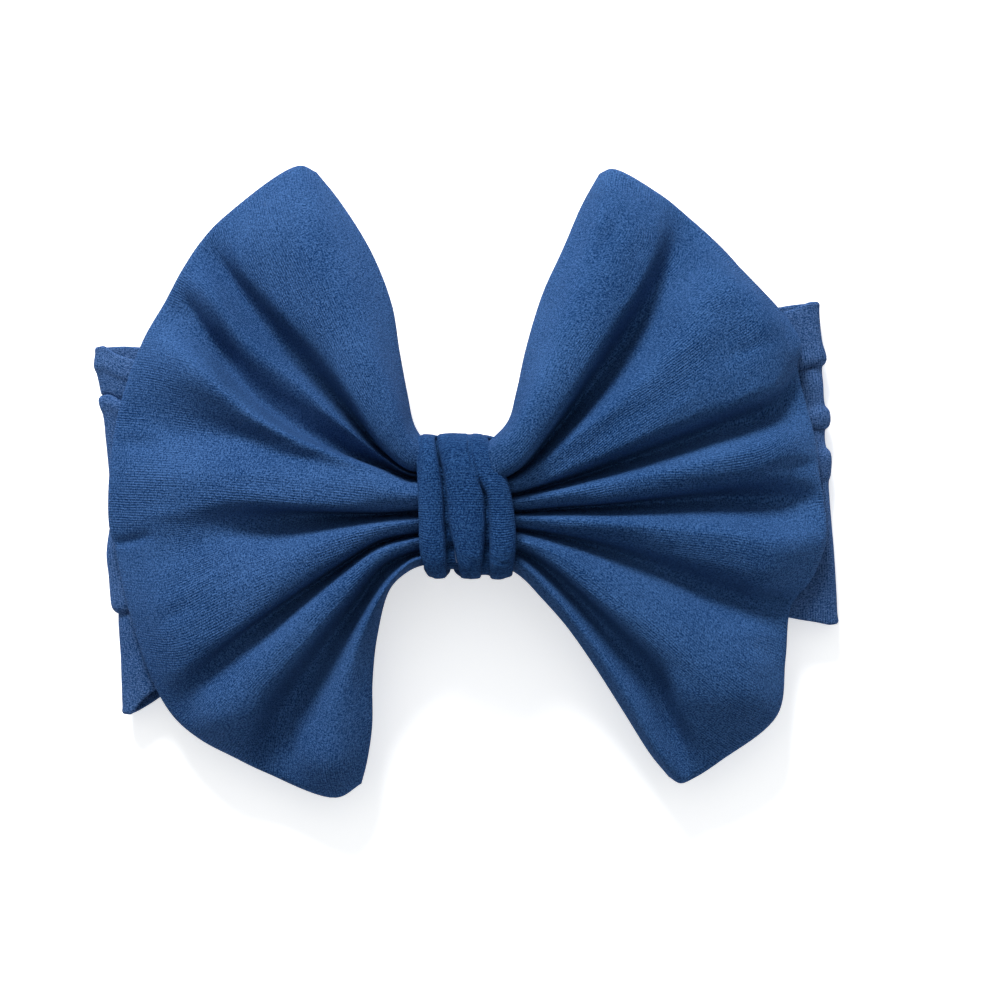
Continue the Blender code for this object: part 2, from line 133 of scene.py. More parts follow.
RIGHT_WING = [
    ("edge", [(4.5, 13.6, 29), (9, 18.3, 30), (11, 25, 26), (13.2, 35, 22.5),
              (17, 47.5, 19), (21.5, 57.5, 16.3), (26, 68, 13.5), (30, 75.3, 11)]),
    ("crest", [(5, 11.4, 33), (10, 15, 36), (14.6, 22.5, 35.5), (19.5, 33, 33),
              (24.5, 45, 29.3), (29, 56, 25.3), (31.2, 67, 20.5), (33, 76.3, 12)]),
    ("lip", [(6, 5.8, 32), (11.5, 9.2, 35), (18.5, 18.3, 34.2), (25, 28.5, 32.2),
              (32.3, 40.2, 28.4), (38.5, 51, 23.9), (42, 62, 19.2), (43.2, 70.9, 11.9)]),
    ("floor", [(7, 5, 23), (12.8, 8.6, 21.4), (20, 16.8, 18.9), (27.4, 26.2, 17.1),
              (35.3, 37.2, 15.5), (42.5, 48.5, 15), (47.5, 59, 13), (49, 66.5, 11)]),
    ("crest", [(7, 4.4, 28), (12.5, 6.3, 29.5), (20.5, 12.4, 29.8), (31, 21, 28.8),
              (43, 31.5, 26.7), (52, 42.5, 24.7), (58.5, 50.5, 21.3), (62.5, 53.2, 12.5)]),
    ("slope", [(7, 3.3, 28), (12.5, 4.9, 29.5), (20.8, 9.6, 29.8), (31.3, 16.2, 29),
              (44, 24.2, 27.4), (57.5, 33, 25.1), (67.5, 40, 21.9), (73.6, 40.8, 13)]),
    ("lip", [(7, 2.3, 27), (12.5, 3.6, 28.5), (21, 6.8, 29), (31.5, 11.8, 28.8),
              (44.5, 17.9, 27.4), (58.5, 25.4, 25.3), (68, 30.2, 22.2), (75.8, 35.6, 13.8)]),
    ("slope", [(7, 1.9, 24), (12.5, 3.1, 24), (21, 5.8, 24), (31.5, 9.9, 23.8),
              (44.5, 15.4, 24.2), (58.5, 21.8, 24.1), (68.5, 26.4, 21.3), (74.9, 32, 12)]),
    ("floor", [(7, 1.5, 21), (12.5, 2.6, 19.9), (21, 5, 18), (31.5, 8.4, 16.2),
              (44.5, 12.8, 14.7), (57.5, 17.6, 13.8), (67.5, 21.2, 12.9), (75.8, 27.6, 10.8)]),
    ("crest", [(7, 0.7, 27), (12.5, 1.3, 28.5), (21, 2.8, 28.6), (31.5, 4.9, 27.8),
              (45, 7.8, 26.3), (58, 10.8, 24.7), (69, 13.4, 21.7), (78.8, 15.2, 12.5)]),
    ("lip", [(7, -0.7, 26), (12.5, -0.6, 27), (21, 0.3, 27), (31.5, 1.2, 26.4),
              (45, 3.2, 24.7), (58, 5.2, 22.7), (69, 6.6, 19.8), (80, 6.4, 12.2)]),
    ("floor", [(7, -1.4, 21), (12.5, -1.4, 19.4), (21, -0.8, 17.6), (31.5, -0.2, 16.5),
              (45, 0.8, 14.5), (58, 1.6, 12.6), (69.5, 1.4, 11.8), (81, 0.6, 11.3)]),
    ("crest", [(7, -2.7, 26), (12.5, -2.9, 27.5), (21, -3.2, 28), (31.5, -3.9, 27.6),
              (45, -5, 26.5), (58, -6.4, 25.3), (70, -8.6, 22.1), (81.5, -7.6, 12.5)]),
    ("lip", [(7, -4.3, 25), (12.5, -4.6, 26), (21, -5.7, 26), (31.5, -7.4, 25.4),
              (45, -10.6, 24), (57, -14.2, 22.3), (67, -17.6, 19.4), (78, -17, 11.9)]),
    ("floor", [(7, -5, 21), (12.5, -5.6, 20.2), (21, -7.2, 19.2), (31.5, -10, 18.3),
              (44.5, -14.6, 16.9), (56, -19, 14.8), (66, -21.9, 12.6), (73.7, -22.8, 11)]),
    ("slope", [(7, -5.9, 24), (12.5, -6.5, 24.5), (20.5, -8.7, 24.4), (31, -13.2, 23.6),
              (43, -19.8, 22.2), (54, -26.2, 21.5), (64, -31.6, 19.7), (72.2, -35, 12.4)]),
    ("crest", [(7, -7, 25), (12.5, -7.9, 26.5), (20, -10.7, 27), (29.6, -17.2, 27),
              (40, -25.6, 26.3), (50, -34.4, 25.5), (60, -42.5, 22.5), (70.3, -47.6, 12.9)]),
    ("lip", [(7, -8.8, 24), (12.5, -9.5, 25.5), (18.8, -12.5, 26.4), (27.6, -19.5, 26.6),
              (36.9, -27.4, 25.6), (45.4, -35.6, 24.3), (49.6, -46, 20.6), (57.5, -58, 12.4)]),
    ("floor", [(7, -9.7, 21), (12.2, -10.8, 19.9), (17.8, -14.2, 18.4), (25.7, -21.6, 17.1),
              (34, -30.6, 15.5), (41.8, -40.5, 14), (46.8, -51.5, 12.8), (51.8, -61.9, 11)]),
    ("crest", [(7, -11, 24.5), (12.3, -13.2, 26), (17, -17.4, 24), (24, -25.6, 22.4),
              (31.2, -35.2, 20.5), (38, -46, 18.9), (43.6, -56.2, 16.5), (48.4, -63.2, 11.5)]),
    ("edge", [(7, -12.8, 21), (12.3, -16.2, 22), (16.6, -20.7, 20.5), (22.3, -27.2, 18.6),
              (28.5, -36, 17), (35.5, -47, 15.2), (41.5, -56.5, 13), (45.8, -61.8, 10.8)]),
]
LINE_STEPS = 12  # mesh steps between two stations of a fold line
FOLD_STEPS = 10  # and between two fold lines
NOISE_CELLS = 64  # the noise repeats after this many steps
NOISE_START = 20  # where in its table the noise starts


# ---- Surfaces ---------------------------------------------------------------------------------------------
def curve_through(points, places):
    """Samples a smooth curve through points along axis 0, at places given in whole and part points."""
    gaps = np.linalg.norm(np.diff(points, axis=0), axis=-1, keepdims=True) ** 0.5 + 1e-6
    slopes = np.diff(points, axis=0) / gaps
    tangents = np.empty_like(points)
    tangents[0] = slopes[0]
    tangents[-1] = slopes[-1]
    tangents[1:-1] = (slopes[1:] * gaps[:-1] + slopes[:-1] * gaps[1:]) / (gaps[1:] + gaps[:-1])
    out = []
    for place in places:
        k = min(int(place), len(points) - 2)
        t = place - k
        out.append(
            (2 * t**3 - 3 * t**2 + 1) * points[k]
            + (t**3 - 2 * t**2 + t) * gaps[k] * tangents[k]
            + (-2 * t**3 + 3 * t**2) * points[k + 1]
            + (t**3 - t**2) * gaps[k] * tangents[k + 1]
        )
    return np.array(out)


def even_places(count, steps):
    return np.arange((count - 1) * steps + 1) / steps


def with_round_end(places, reach, at_start=False):
    """Crowds a row of places toward an end, to sample a rounded edge there evenly round its quarter turn."""
    quarter = reach * (1 - np.cos(np.linspace(0, math.pi / 2, RIM_STEPS + 1)))
    last = places[-1]
    clear = reach * 1.15  # places nearer to the end than this are dropped
    if at_start:
        return np.concatenate([quarter, places[places > clear]])
    return np.concatenate([places[places < last - clear], last - quarter[::-1]])


def with_round_ends(places, reach):
    return with_round_end(with_round_end(places, reach, at_start=True), reach)


def loft(net, across, along):
    """A grid [across, along, xyz] through a net of fold lines, each a row of stations."""
    net = np.array(net, float)
    rows = np.swapaxes(curve_through(np.swapaxes(net, 0, 1), along), 0, 1)
    return curve_through(rows, across)


def arc(grid, axis):
    """Length along a grid's rows or columns, from their start."""
    steps = np.linalg.norm(np.diff(grid, axis=axis), axis=-1)
    total = np.cumsum(steps, axis=axis)
    first = np.zeros_like(np.take(total, [0], axis=axis))
    return np.concatenate([first, total], axis=axis)


def smooth_step(x):
    x = np.clip(x, 0.0, 1.0)
    return x * x * (3 - 2 * x)


def value_noise(x, y, seed):
    """Smooth noise from -1 to 1 on a lattice of step 1."""
    rng = np.random.default_rng(seed)
    table = rng.uniform(-1, 1, (NOISE_CELLS, NOISE_CELLS))
    x, y = x + NOISE_START, y + NOISE_START
    xi, yi = np.floor(x).astype(int), np.floor(y).astype(int)
    fx, fy = smooth_step(x - xi), smooth_step(y - yi)
    corner = lambda a, b: table[(xi + a) % NOISE_CELLS, (yi + b) % NOISE_CELLS]
    return ((corner(0, 0) * (1 - fx) + corner(1, 0) * fx) * (1 - fy)
            + (corner(0, 1) * (1 - fx) + corner(1, 1) * fx) * fy)


def crease(grid, start, end, width, depth):
    """Lowers a grid by depth along a soft crease seen from above; a negative depth raises a ridge."""
    a, b = np.array(start, float), np.array(end, float)
    run = b - a
    t = np.clip(((grid[..., :2] - a) @ run) / (run @ run), 0, 1)
    away = np.linalg.norm(grid[..., :2] - (a + t[..., None] * run), axis=-1)
    fade = np.sin(math.pi * np.clip(t, 0.02, 0.98)) ** 0.5
    grid[..., 2] -= depth * fade * np.exp(-((away / width) ** 2))


def rib_coordinates(grid, kinds, across):
    """Millimetres across and along the knit's wales, and how much they crowd.

    Wales keep their pitch on the lobes. They run from the knot to the outer edge, so they crowd in valleys.
    """
    step = np.linalg.norm(np.diff(grid, axis=0), axis=-1)
    place = (across[1:] + across[:-1]) / 2
    in_floor = np.zeros(len(place))
    for k, kind in enumerate(kinds):
        if kind == "floor":
            in_floor = np.maximum(in_floor, np.clip(1 - np.abs(place - k), 0, 1) ** 2)
    crest_lines = [k for k, kind in enumerate(kinds) if kind == "crest"]
    crests = [int(np.argmin(np.abs(across - k))) for k in crest_lines]
    rate = step.copy()
    for a, b in zip(crests, crests[1:]):
        part = step[a:b]
        weight = part * in_floor[a:b, None]
        lack = part[:, -1].sum() - part.sum(axis=0)
        rate[a:b] = part + weight * np.clip(lack / (weight.sum(axis=0) + 1e-9), -0.6, 30.0)
    total = np.concatenate([np.zeros((1, grid.shape[1])), np.cumsum(rate, axis=0)])
    crowd = np.concatenate([rate / (step + 1e-6), rate[-1:] / (step[-1:] + 1e-6)])
    along = arc(grid, 1)
    return total - total[crests[len(crests) // 2]], along - along[:, -1:], crowd


def link_mesh(name, points, faces, weave, cap_faces=0):
    """A smooth mesh from points in millimetres, with its weave coordinates kept for its material.

    Its last cap_faces faces are flat, so that the edge round them stays sharp.
    """
    mesh = bpy.data.meshes.new(name)
    mesh.from_pydata(((points + KNOT) * MM).tolist(), [], faces)
    made = bpy.data.objects.new(name, mesh)
    bpy.context.collection.objects.link(made)
    layer = mesh.attributes.new("weave", "FLOAT_VECTOR", "POINT")
    layer.data.foreach_set("vector", np.asarray(weave, float).ravel())
    mesh.shade_smooth()
    for face in range(len(faces) - cap_faces, len(faces)):
        mesh.polygons[face].use_smooth = False
    mesh.update()
    centre = np.mean(points, axis=0)
    middle = Vector((centre + KNOT) * MM)
    outward = sum(face.normal.dot(face.center - middle) * face.area for face in mesh.polygons)
    if outward < 0:
        mesh.flip_normals()
    return made


def join_sides(near, far, weave, share_end=False):
    """Points, weave marks and point numbers of two grids that share their first and last rows.

    With share_end they share their last column too.
    """
    rows, columns = near.shape[:2]
    near_index = np.arange(rows * columns).reshape(rows, columns)
    far_index = np.full((rows, columns), -1)
    far_index[0] = near_index[0]
    far_index[-1] = near_index[-1]
    if share_end:
        far_index[:, -1] = near_index[:, -1]
    inner = far_index < 0
    far_index[inner] = rows * columns + np.arange(inner.sum())
    marks = np.stack(weave, axis=-1)
    points = np.concatenate([near.reshape(-1, 3), far[inner]])
    marks = np.concatenate([marks.reshape(-1, 3), marks[inner]])
    return points, marks, near_index, far_index


def side_faces(near_index, far_index, i, j, k):
    """The faces of both sides between rows i and i + 1 and columns j and k, facing away from each other."""
    near = [int(near_index[a, b]) for a, b in ((i, j), (i, k), (i + 1, k), (i + 1, j))]
    far = [int(far_index[a, b]) for a, b in ((i, j), (i + 1, j), (i + 1, k), (i, k))]
    return [near, far]


def two_sided(name, front, back, weave):
    """A closed mesh from two grids that share their first and last rows and their last column.

    Their first columns are joined by a strip of faces.
    """
    points, marks, front_index, back_index = join_sides(front, back, weave, share_end=True)
    rows, columns = front.shape[:2]
    faces = []
    for i in range(rows - 1):
        for j in range(columns - 1):
            faces += side_faces(front_index, back_index, i, j, j + 1)
        ring = [front_index[i, 0], front_index[i + 1, 0], back_index[i + 1, 0], back_index[i, 0]]
        faces.append([int(v) for v in dict.fromkeys(ring)])
    return link_mesh(name, points, [f for f in faces if len(set(f)) > 2], marks)


def edge_round(distance, radius):
    """Half the thickness of a rounded edge at a distance in from it."""
    part = np.clip(distance / radius, 0, 1)
    return radius * np.sqrt(np.clip(1 - (1 - part) ** 2, 0, 1))


def ribbon(name, grid, radius, weave, closed=False):
    """A strip of cloth round a grid that is its middle surface. Its first and last rows get rounded edges.

    closed joins its last column to its first one. Otherwise the two ends get caps.
    """
    rows, columns = grid.shape[:2]
    across = np.gradient(grid, axis=0)
    if closed:
        along = np.roll(grid, -1, axis=1) - np.roll(grid, 1, axis=1)
    else:
        along = np.gradient(grid, axis=1)
    normal = np.cross(across, along)
    normal /= np.linalg.norm(normal, axis=-1, keepdims=True) + 1e-12
    width = arc(grid, 0)
    half = edge_round(np.minimum(width, width[-1:] - width), radius)[..., None]
    upper, lower = grid + normal * half, grid - normal * half
    points, marks, upper_index, lower_index = join_sides(upper, lower, weave)
    faces = []
    caps = []
    for i in range(rows - 1):
        for j in range(columns if closed else columns - 1):
            faces += side_faces(upper_index, lower_index, i, j, (j + 1) % columns)
        if not closed:
            for j, order in ((0, 1), (columns - 1, -1)):
                ring = [upper_index[i, j], upper_index[i + 1, j], lower_index[i + 1, j], lower_index[i, j]]
                caps.append([int(v) for v in dict.fromkeys(ring[::order])])
    faces = [f for f in faces if len(set(f)) > 2]
    return link_mesh(name, points, faces + caps, marks, cap_faces=len(caps))


# ---- Wings ------------------------------------------------------------------------------------------------
BACK_GAP = 1.0  # between a wing's two panels along its valleys
BACK_SHARE = 0.45  # how deep the back panel's lobes are beside the front's
BAND_CLEAR = 0.6  # between the back panel and the band under it
EDGE_FADE = 6.0  # the waves fade out within this distance of a wing's edge
WAVE_HEIGHT = 0.32
BACK_WAVE_HEIGHT = 0.3
AT_EDGE = 0.01  # points nearer to the edge than this belong to both panels
THINNEST = 1.5  # the two panels together, along the valleys


def to_band(points):
    """Turns points into the band's own frame, which is tilted in plan about the knot's centre."""
    c, s = math.cos(BAND_TILT), math.sin(BAND_TILT)
    return points[..., 0] * c + points[..., 1] * s, -points[..., 0] * s + points[..., 1] * c


def from_band(x, y, z):
    c, s = math.cos(BAND_TILT), math.sin(BAND_TILT)
    return np.stack(np.broadcast_arrays(x * c - y * s, x * s + y * c, z), axis=-1).astype(float)


def band_top(points):
    """Height of the headband's front face under a point, and how surely the band is there, from 0 to 1."""
    x, y = to_band(points)
    reach = np.abs(x)
    height = BAND_ROOT_TOP - BAND_FALL * (reach - BAND_ROOT_X)
    half = np.interp(reach, [0, BAND_ROOT_X, 83, 90], [13, 14, 44, 44])
    there = smooth_step((half + 5 - np.abs(y)) / 4) * smooth_step((92 - reach) / 4)
    return height, there


def distance_to(points, border):
    """Plan distance of points to a border drawn as a chain of points."""
    flat = points[..., :2].reshape(-1, 2)
    best = np.full(len(flat), 1e9)
    for a, b in zip(border[:-1, :2], border[1:, :2]):
        run = b - a
        t = np.clip(((flat - a) @ run) / (run @ run + 1e-12), 0, 1)
        best = np.minimum(best, np.linalg.norm(flat - (a + t[:, None] * run), axis=1))
    return best.reshape(points.shape[:-1])


def back_net(lines):
    """A wing's back panel: shallower lobes behind the front's, hanging from the same valleys and edges."""
    kinds = [kind for kind, _ in lines]
    net = np.array([points for _, points in lines], float)
    low = [k for k, kind in enumerate(kinds) if kind in ("floor", "edge")]
    floor = np.empty(net.shape[:2])
    for j in range(net.shape[1]):
        floor[:, j] = np.interp(np.arange(len(kinds)), low, net[low, j, 2])
    keep = [k for k, kind in enumerate(kinds) if kind in ("floor", "edge", "crest")]
    back = net.copy()
    for j in range(net.shape[1]):
        for axis in (0, 1):
            back[:, j, axis] = np.interp(np.arange(len(kinds)), keep, net[keep, j, axis])
    lobe = np.zeros(net.shape[:2])
    for k, kind in enumerate(kinds):
        if kind == "crest":
            lobe[k] = net[k, :, 2] - floor[k]
    for j in range(net.shape[1]):
        lobe[:, j] = np.interp(np.arange(len(kinds)), keep, lobe[keep, j])
    back[..., 2] = floor - BACK_SHARE * lobe
    return back


def make_wing(name, lines, creases, seed):
    kinds = [kind for kind, _ in lines]
    net = [points for _, points in lines]
    across = with_round_ends(even_places(len(lines), FOLD_STEPS), 0.3)
    along = with_round_end(even_places(len(net[0]), LINE_STEPS), 0.16)
    front = loft(net, across, along)
    back = loft(back_net(lines), across, along)
    border = np.concatenate([front[0], front[1:, -1], front[-1, ::-1][1:]])
    in_from_edge = distance_to(front, border)
    weave = rib_coordinates(front, kinds, across)
    round_part = edge_round(in_from_edge, RIM_RADIUS)
    free = smooth_step(in_from_edge / EDGE_FADE)
    away = np.linalg.norm(front[..., :2], axis=-1)
    for start, end, width, depth in creases:
        crease(front, start, end, width, depth)
    # Shallow waves that run with the lobes, and a finer unevenness of the soft cloth.
    waves = value_noise(weave[0] / 4.2, away / 17, seed)
    waves += 0.5 * value_noise(weave[0] / 2.0, away / 7.5, seed + 1)
    front[..., 2] += round_part + free * WAVE_HEIGHT * waves
    back[..., 2] -= (round_part - RIM_RADIUS) + free * (BACK_GAP - BACK_WAVE_HEIGHT * waves)
    # The back panel rests on the band where the band lies behind it.
    height, there = band_top(back)
    lowest = height + BAND_CLEAR
    sink = np.clip(lowest - back[..., 2], 0, None)
    off_edge = in_from_edge > AT_EDGE
    back[..., 2] += sink * there * off_edge
    # Both panels keep clear of each other.
    thinnest = front[..., 2] - np.minimum(2 * round_part, THINNEST)
    back[..., 2] = np.where(off_edge, np.minimum(back[..., 2], thinnest), front[..., 2])
    return two_sided(name, front, back, weave)


# ---- Centre wrap ------------------------------------------------------------------------------------------
# Where its edges and two grooves run down its front: (y, x) from the top to the bottom.
WRAP_LINES = {
    "left": [(16, -11.2), (10.8, -11.0), (6.5, -10.8), (0.7, -10.6), (-5, -10.5), (-12.2, -10.2),
             (-16, -8.8)],
    "strip_1": [(16, -7.0), (10.8, -6.0), (3.6, -5.0), (-5, -4.7), (-10.8, -4.3), (-16, -4.3)],
    "strip_2": [(16, -6.7), (10.8, -5.55), (3.6, -4.5), (-5, -3.75), (-10.8, -2.6), (-16, -1.5)],
    "strip_2_end": [(16, 0.3), (10.8, 0.8), (6.0, 2.4), (2.5, 3.9), (-3.6, 4.3), (-10.8, 4.0),
                    (-16, 3.3)],
    "strip_3": [(16, 0.9), (10.8, 1.4), (6.0, 3.0), (2.5, 4.5), (-3.6, 5.0), (-10.8, 5.1), (-16, 5.2)],
    "right": [(16, 4.5), (13.3, 6.0), (9.3, 8.1), (5.9, 9.4), (0.7, 10.3), (-5.2, 10.9),
              (-10.8, 11.0), (-16, 10.3)],
}
WRAP_BACK_X = {
    "left": -9.8,
    "strip_1": -3.6,
    "strip_2": -3.1,
    "strip_2_end": 3.1,
    "strip_3": 3.6,
    "right": 9.8,
}
WRAP_HALF_Y = 15.75
WRAP_HALF_Z = 11.2
WRAP_SQUARE = 0.52  # below 1 the loop's section is squarer than an ellipse
WRAP_RADIUS = 0.45  # half the strip's thickness
WRAP_WAVE = 0.13  # height of the unevenness of its cloth
WRAP_STATIONS = 168
WRAP_RUN_ROW = 45  # the row near its middle that lengths along the loop are measured on
# Across the strip: (which line, millimetres beside it, depth below the loop on the front, and on the back).
WRAP_PLEATS = [
    ("left", 2.6, 7.5, 3.5),
    ("left", 1.2, 5.2, 2.2),
    ("left", 0.5, 2.6, 1.0),
    ("left", 1.6, 1.0, 0.3),
    ("strip_1", -2.6, 0.4, 0.0),
    ("strip_1", -1.1, 0.8, 0.2),
    ("strip_1", -0.5, 2.2, 0.5),
    ("strip_1", -0.6, 8.6, 1.3),
    ("strip_2", 0.6, 8.6, 1.3),
    ("strip_2", 0.5, 2.0, 0.5),
    ("strip_2", 1.1, 0.7, 0.1),
    ("strip_2", 2.8, 0.0, 0.0),
    ("strip_2_end", -2.8, 0.0, 0.0),
    ("strip_2_end", -1.1, 0.8, 0.2),
    ("strip_2_end", -0.5, 2.4, 0.5),
    ("strip_2_end", -0.45, 7.0, 1.2),
    ("strip_3", 0.45, 7.0, 1.2),
    ("strip_3", 0.5, 2.4, 0.5),
    ("strip_3", 1.1, 1.0, 0.2),
    ("strip_3", 2.4, 0.5, 0.0),
    ("right", -1.7, 1.0, 0.2),
    ("right", -0.5, 2.8, 1.0),
    ("right", -1.1, 5.4, 2.2),
    ("right", -2.5, 7.5, 3.5),
]
GROOVE_2 = ("strip_2_end", "strip_3")  # the lines of the right groove
GROOVE_2_FADE = (-1.0, 7.5)  # it dies out between these heights on the front
GROOVE_2_LEFT = 0.10  # and this share of its depth is left above them
SHALLOW = 0.2  # depth of the cloth where the right groove has died out
TIGHT_TOP = 0.16  # shares of the pleats' depth that are left where the cloth turns over an end
TIGHT_BOTTOM = 0.22
TIGHT_BOTTOM_GROOVE_2 = 0.12


def make_wrap():
    angle = math.pi + np.arange(WRAP_STATIONS) * 2 * math.pi / WRAP_STATIONS
    sin, cos = np.sin(angle), np.cos(angle)
    out_y = np.sign(sin) * np.abs(sin) ** WRAP_SQUARE
    out_z = np.sign(cos) * np.abs(cos) ** WRAP_SQUARE
    on_front = smooth_step((cos + 0.55) / 0.6)
    y = WRAP_MIDDLE[0] + WRAP_HALF_Y * out_y
    line_x = {}
    for key, points in WRAP_LINES.items():
        table = curve_through(np.array(points, float), even_places(len(points), 8))[::-1]
        front_x = np.interp(y, table[:, 0], table[:, 1])
        line_x[key] = on_front * front_x + (1 - on_front) * WRAP_BACK_X[key]
    fade = 1 - smooth_step((y - GROOVE_2_FADE[0]) / (GROOVE_2_FADE[1] - GROOVE_2_FADE[0]))
    net = []
    for key, beside, deep, deep_back in WRAP_PLEATS:
        on_strip = np.full(WRAP_STATIONS, deep, float)
        if key in GROOVE_2 and deep > 0.7:
            on_strip = SHALLOW + (deep - SHALLOW) * (GROOVE_2_LEFT + (1 - GROOVE_2_LEFT) * fade)
        # Over the top edge the cloth is pulled flat. Under the bottom edge its pleats stay looser.
        bottom = TIGHT_BOTTOM_GROOVE_2 if key in GROOVE_2 else TIGHT_BOTTOM
        tight = np.where(out_y > 0, TIGHT_TOP, bottom)
        tight = tight + (1 - tight) * np.abs(out_z) ** 3
        depth = on_front * on_strip * tight + (1 - on_front) * deep_back
        shrink_y = 1 - depth / WRAP_HALF_Y
        shrink_z = 1 - depth / WRAP_HALF_Z
        net.append(np.stack([
            line_x[key] + beside,
            WRAP_MIDDLE[0] + WRAP_HALF_Y * out_y * shrink_y,
            WRAP_MIDDLE[1] + WRAP_HALF_Z * out_z * shrink_z,
        ], axis=-1))
    grid = curve_through(np.array(net), even_places(len(net), 4))
    run = np.broadcast_to(arc(grid[WRAP_RUN_ROW], 0), grid.shape[:2])
    width = arc(grid, 0)
    side = value_noise(run / 5.0, width / 2.2, 31) + 0.6 * value_noise(run / 1.6, width / 4, 32)
    inward = grid - np.array([0, WRAP_MIDDLE[0], WRAP_MIDDLE[1]])
    inward[..., 0] = 0
    inward /= np.linalg.norm(inward, axis=-1, keepdims=True)
    grid = grid + inward * WRAP_WAVE * side[..., None]
    # The strip's wales run across it, so its weave is turned a quarter.
    weave = (run, width, np.ones(grid.shape[:2]))
    return ribbon("wrap_cloth", grid, WRAP_RADIUS, weave, closed=True)


# ---- Headband ---------------------------------------------------------------------------------------------
# Pleats of the band's two ends, from the top edge to the bottom: (y at the fold, x out to the fold, height of
# the cloth over its middle surface on the front, and on the back), in the band's own frame.
BAND_PLEATS = {
    "left": [
        (42.7, 81.9, 0.0, 0.0),
        (41.7, 81.5, 0.2, 0.0),
        (38.4, 82.0, 0.6, 0.2),
        (36.6, 81.5, 0.0, -0.1),
        (33.0, 81.0, -0.2, 0.0),
        (32.3, 80.9, -0.6, -0.1),
        (31.9, 80.6, -2.2, -0.4),
        (31.0, 80.9, -2.2, -0.3),
        (30.6, 81.5, 0.3, 0.2),
        (29.6, 81.5, 1.0, 0.3),
        (27.2, 80.8, 0.5, 0.1),
        (21.2, 80.6, 0.2, 0.3),
        (15.0, 80.5, -0.2, -0.2),
        (8.0, 80.6, 0.3, 0.2),
        (2.0, 81.2, 0.1, 0.3),
        (-4.6, 82.5, 0.5, -0.2),
        (-10.0, 82.4, 0.1, 0.3),
        (-14.0, 82.4, 0.5, 0.3),
        (-16.8, 82.2, 0.9, 0.4),
        (-17.6, 81.6, 0.4, 0.2),
        (-18.0, 80.9, -1.5, -0.4),
        (-19.0, 80.9, -0.9, -0.2),
        (-21.0, 81.0, 0.1, 0.1),
        (-28.1, 81.1, 0.0, 0.3),
        (-33.0, 81.3, 0.4, 0.0),
        (-37.0, 81.5, 0.3, 0.3),
        (-40.6, 81.7, 0.2, 0.0),
        (-41.6, 82.1, 0.0, 0.0),
    ],
    "right": [
        (40.1, 83.6, 0.0, 0.0),
        (39.1, 83.2, 0.2, 0.1),
        (31.2, 83.1, 0.5, 0.3),
        (26.8, 83.8, 0.7, 0.3),
        (25.5, 82.8, -0.9, -0.3),
        (21.0, 82.6, 0.1, 0.2),
        (16.2, 82.7, -0.4, -0.2),
        (14.5, 83.6, 0.7, 0.3),
        (12.1, 83.4, 0.2, 0.1),
        (11.2, 82.4, -0.8, -0.3),
        (6.6, 82.2, -0.2, 0.0),
        (5.1, 83.1, 0.7, 0.3),
        (0.5, 82.7, 0.2, 0.2),
        (-0.9, 82.2, -0.6, -0.3),
        (-5.0, 82.0, 0.3, 0.2),
        (-9.7, 82.0, 0.5, 0.2),
        (-17.4, 82.05, -0.1, 0.1),
        (-26.0, 81.9, 0.3, 0.2),
        (-32.7, 81.8, 0.1, 0.1),
        (-33.8, 82.2, 0.0, 0.0),
    ],
}
BAND_RADIUS = 0.85  # half the doubled cloth
BAND_ROOT_Y = (-10.6, 10.2)
BAND_SEAM_Y = (-11.6, 12.0)
FOLD_MIDDLE_Z = 4.7
FOLD_REACH = 3.1  # radius of the fold's turn
BACK_Z = 1.6  # the back layer's middle
SEAM_X = -0.1  # each end reaches a little past the back seam's middle, so that no gap shows at rest
BAND_HALF = 1.75  # from the top of the band's front layer down to its middle
FRONT_PLACES = (8.5, 12, 16, 21, 27, 34, 42, 50)
FOLD_PLACES = (63, 68, 73, 77)
BACK_PLACES = (76, 70, 62, 52, 42, 33, 25, 18, 12, 6)
TURN_STEPS = 8
# How the band's top and bottom edges level out toward the fold, on its front and on its back.
FRONT_EDGES = {"left": (0.1, -0.5), "right": (0.6, 0.6)}
BACK_EDGES = {"left": (1.0, -0.7), "right": (1.0, -0.3)}
SPLIT_X = 58.0  # where a front piece meets a fold piece, under the wing


def band_height(x):
    """Middle height of the band's front layer."""
    return BAND_ROOT_TOP - BAND_FALL * (np.abs(x) - BAND_ROOT_X) - BAND_HALF


def fan_share(x, start_x, end_x, up, shape):
    """How much of its full width a band layer has taken at x, as it fans out from its root.

    up is the line's place, from 0 at the bottom edge to 1 at the top. shape says how much the top and the
    bottom edge level out toward the fold: 0 is straight, 1 is level, and below 0 the edge flares instead.
    """
    t = np.clip((x - start_x) / (end_x - start_x), 0, 1)
    level = shape[0] * up + shape[1] * (1 - up)
    if level >= 0:
        return (1 - level) * t + level * smooth_step(t)
    return t ** (1 - level)


